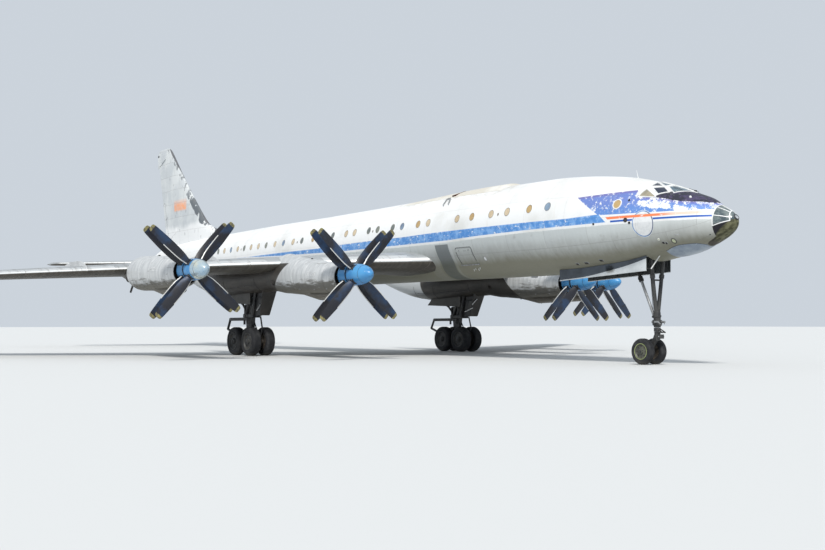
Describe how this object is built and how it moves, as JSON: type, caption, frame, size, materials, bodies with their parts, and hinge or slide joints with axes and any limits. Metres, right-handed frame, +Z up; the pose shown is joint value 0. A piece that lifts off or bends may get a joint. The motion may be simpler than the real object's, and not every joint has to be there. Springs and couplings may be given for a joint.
{
  "type": "four-engined turboprop airliner, 1:2 scale model",
  "caption": "Low-wing swept turboprop airliner on its landing gear, with contra-rotating propellers, wheels, steering, flaps, control surfaces and a cargo hatch that move.",
  "frame": {"origin": "middle of the footprint on the ground, under the aircraft", "axes": "nose towards -Y, left side towards +X, +Z up"},
  "size_m": [25.55, 27, 7.425],
  "materials": {
    "glazing": "dark smoked panes",
    "white_paint": "weathered white paint",
    "bare_metal": "dull bare metal",
    "engine_cowl": "dull metal cowling, stained",
    "propeller": "black blades, light blue spinners",
    "gear_steel": "dark grey gear metal",
    "tyres": "black rubber"
  },
  "bodies": {
    "airframe": {"nose_section": "white_paint", "windscreen": "glazing", "nose_glazing": "glazing", "chin_radome": "bare_metal", "cabin_section": "white_paint", "tail_section": "white_paint", "passenger_door_front": "white_paint", "passenger_door_rear": "white_paint", "fin": "white_paint", "nose_leg": "gear_steel", "nose_drag_brace": "gear_steel", "wing_l": "bare_metal", "tailplane_l": "bare_metal", "nacelle_inner_l": "engine_cowl", "nacelle_outer_l": "engine_cowl", "gear_pod_l": "bare_metal", "main_leg_l": "gear_steel", "bogie_beam_l": "gear_steel", "main_leg_door_l": "bare_metal", "nose_gear_door_l": "white_paint", "wing_r": "bare_metal", "tailplane_r": "bare_metal", "nacelle_inner_r": "engine_cowl", "nacelle_outer_r": "engine_cowl", "gear_pod_r": "bare_metal", "main_leg_r": "gear_steel", "bogie_beam_r": "gear_steel", "main_leg_door_r": "bare_metal", "nose_gear_door_r": "white_paint"},
    "propeller_inner_front_l": {"propeller_inner_front_l": "propeller"},
    "propeller_inner_rear_l": {"propeller_inner_rear_l": "propeller"},
    "propeller_outer_front_l": {"propeller_outer_front_l": "propeller"},
    "propeller_outer_rear_l": {"propeller_outer_rear_l": "propeller"},
    "main_wheels_front_l": {"main_wheels_front_l": "tyres"},
    "main_wheels_rear_l": {"main_wheels_rear_l": "tyres"},
    "flap_inner_l": {"flap_inner_l": "bare_metal"},
    "flap_outer_l": {"flap_outer_l": "bare_metal"},
    "aileron_l": {"aileron_l": "bare_metal"},
    "elevator_l": {"elevator_l": "bare_metal"},
    "propeller_inner_front_r": {"propeller_inner_front_r": "propeller"},
    "propeller_inner_rear_r": {"propeller_inner_rear_r": "propeller"},
    "propeller_outer_front_r": {"propeller_outer_front_r": "propeller"},
    "propeller_outer_rear_r": {"propeller_outer_rear_r": "propeller"},
    "main_wheels_front_r": {"main_wheels_front_r": "tyres"},
    "main_wheels_rear_r": {"main_wheels_rear_r": "tyres"},
    "flap_inner_r": {"flap_inner_r": "bare_metal"},
    "flap_outer_r": {"flap_outer_r": "bare_metal"},
    "aileron_r": {"aileron_r": "bare_metal"},
    "elevator_r": {"elevator_r": "bare_metal"},
    "rudder": {"rudder": "white_paint"},
    "cargo_hatch": {"cargo_hatch": "bare_metal"},
    "nose_steering": {"nose_steering_fork": "gear_steel"},
    "nose_wheels": {"nose_wheels": "tyres"}
  },
  "joints": [
    {"name": "propeller_inner_front_l_spin", "type": "hinge", "parent": "airframe", "child": "propeller_inner_front_l", "pos_m": [3.475, -5.885, 1.925], "axis": [0, -1, 0], "continuous": true},
    {"name": "propeller_inner_rear_l_spin", "type": "hinge", "parent": "airframe", "child": "propeller_inner_rear_l", "pos_m": [3.475, -5.555, 1.925], "axis": [0, 1, 0], "continuous": true},
    {"name": "propeller_outer_front_l_spin", "type": "hinge", "parent": "airframe", "child": "propeller_outer_front_l", "pos_m": [6.495, -3.925, 2.03], "axis": [0, -1, 0], "continuous": true},
    {"name": "propeller_outer_rear_l_spin", "type": "hinge", "parent": "airframe", "child": "propeller_outer_rear_l", "pos_m": [6.495, -3.595, 2.03], "axis": [0, 1, 0], "continuous": true},
    {"name": "main_wheels_front_l_roll", "type": "hinge", "parent": "airframe", "child": "main_wheels_front_l", "pos_m": [3.45, -1.175, 0.37038], "axis": [1, 0, 0], "continuous": true},
    {"name": "main_wheels_rear_l_roll", "type": "hinge", "parent": "airframe", "child": "main_wheels_rear_l", "pos_m": [3.45, -0.375, 0.37038], "axis": [1, 0, 0], "continuous": true},
    {"name": "flap_inner_l_hinge", "type": "hinge", "parent": "airframe", "child": "flap_inner_l", "pos_m": [2.1875, -1.14341, 2.31979], "axis": [-0.8706, -0.4916, 0.0201], "range_deg": [0, 30]},
    {"name": "flap_outer_l_hinge", "type": "hinge", "parent": "airframe", "child": "flap_outer_l", "pos_m": [6.1125, 1.07313, 2.16716], "axis": [-0.87, -0.4913, 0.0405], "range_deg": [0, 30]},
    {"name": "aileron_l_hinge", "type": "hinge", "parent": "airframe", "child": "aileron_l", "pos_m": [10.1125, 3.33203, 1.98086], "axis": [-0.87, -0.4913, 0.0405], "range_deg": [-20, 20]},
    {"name": "elevator_l_hinge", "type": "hinge", "parent": "airframe", "child": "elevator_l", "pos_m": [2.375, 12.44125, 2.96219], "axis": [-0.9484, -0.3168, 0.0119], "range_deg": [-25, 20]},
    {"name": "propeller_inner_front_r_spin", "type": "hinge", "parent": "airframe", "child": "propeller_inner_front_r", "pos_m": [-3.475, -5.885, 1.925], "axis": [0, -1, 0], "continuous": true},
    {"name": "propeller_inner_rear_r_spin", "type": "hinge", "parent": "airframe", "child": "propeller_inner_rear_r", "pos_m": [-3.475, -5.555, 1.925], "axis": [0, 1, 0], "continuous": true},
    {"name": "propeller_outer_front_r_spin", "type": "hinge", "parent": "airframe", "child": "propeller_outer_front_r", "pos_m": [-6.495, -3.925, 2.03], "axis": [0, -1, 0], "continuous": true},
    {"name": "propeller_outer_rear_r_spin", "type": "hinge", "parent": "airframe", "child": "propeller_outer_rear_r", "pos_m": [-6.495, -3.595, 2.03], "axis": [0, 1, 0], "continuous": true},
    {"name": "main_wheels_front_r_roll", "type": "hinge", "parent": "airframe", "child": "main_wheels_front_r", "pos_m": [-3.45, -1.175, 0.37038], "axis": [1, 0, 0], "continuous": true},
    {"name": "main_wheels_rear_r_roll", "type": "hinge", "parent": "airframe", "child": "main_wheels_rear_r", "pos_m": [-3.45, -0.375, 0.37038], "axis": [1, 0, 0], "continuous": true},
    {"name": "flap_inner_r_hinge", "type": "hinge", "parent": "airframe", "child": "flap_inner_r", "pos_m": [-2.1875, -1.14341, 2.31979], "axis": [-0.8706, 0.4916, -0.0201], "range_deg": [0, 30]},
    {"name": "flap_outer_r_hinge", "type": "hinge", "parent": "airframe", "child": "flap_outer_r", "pos_m": [-6.1125, 1.07313, 2.16716], "axis": [-0.87, 0.4913, -0.0405], "range_deg": [0, 30]},
    {"name": "aileron_r_hinge", "type": "hinge", "parent": "airframe", "child": "aileron_r", "pos_m": [-10.1125, 3.33203, 1.98086], "axis": [-0.87, 0.4913, -0.0405], "range_deg": [-20, 20]},
    {"name": "elevator_r_hinge", "type": "hinge", "parent": "airframe", "child": "elevator_r", "pos_m": [-2.375, 12.44125, 2.96219], "axis": [-0.9484, 0.3168, -0.0119], "range_deg": [-25, 20]},
    {"name": "rudder_hinge", "type": "hinge", "parent": "airframe", "child": "rudder", "pos_m": [0, 11.97, 5.6125], "axis": [0, 0.3628, 0.9318], "range_deg": [-25, 25]},
    {"name": "cargo_hatch_hinge", "type": "hinge", "parent": "airframe", "child": "cargo_hatch", "pos_m": [-0.76524, -6.525, 2.19582], "axis": [0, -1, 0], "range_deg": [0, 95]},
    {"name": "nose_steering_hinge", "type": "hinge", "parent": "airframe", "child": "nose_steering", "pos_m": [0, -11.515, 0.75], "axis": [0, 0, 1], "range_deg": [-50, 50]},
    {"name": "nose_wheels_roll", "type": "hinge", "parent": "nose_steering", "child": "nose_wheels", "pos_m": [0, -11.29, 0.26668], "axis": [1, 0, 0], "continuous": true}
  ],
  "couplings": [
    {"joint": "flap_outer_l_hinge", "follows": "flap_inner_l_hinge", "ratio": 1},
    {"joint": "flap_inner_r_hinge", "follows": "flap_inner_l_hinge", "ratio": 1},
    {"joint": "flap_outer_r_hinge", "follows": "flap_inner_l_hinge", "ratio": 1},
    {"joint": "aileron_r_hinge", "follows": "aileron_l_hinge", "ratio": -1},
    {"joint": "elevator_r_hinge", "follows": "elevator_l_hinge", "ratio": 1}
  ]
}
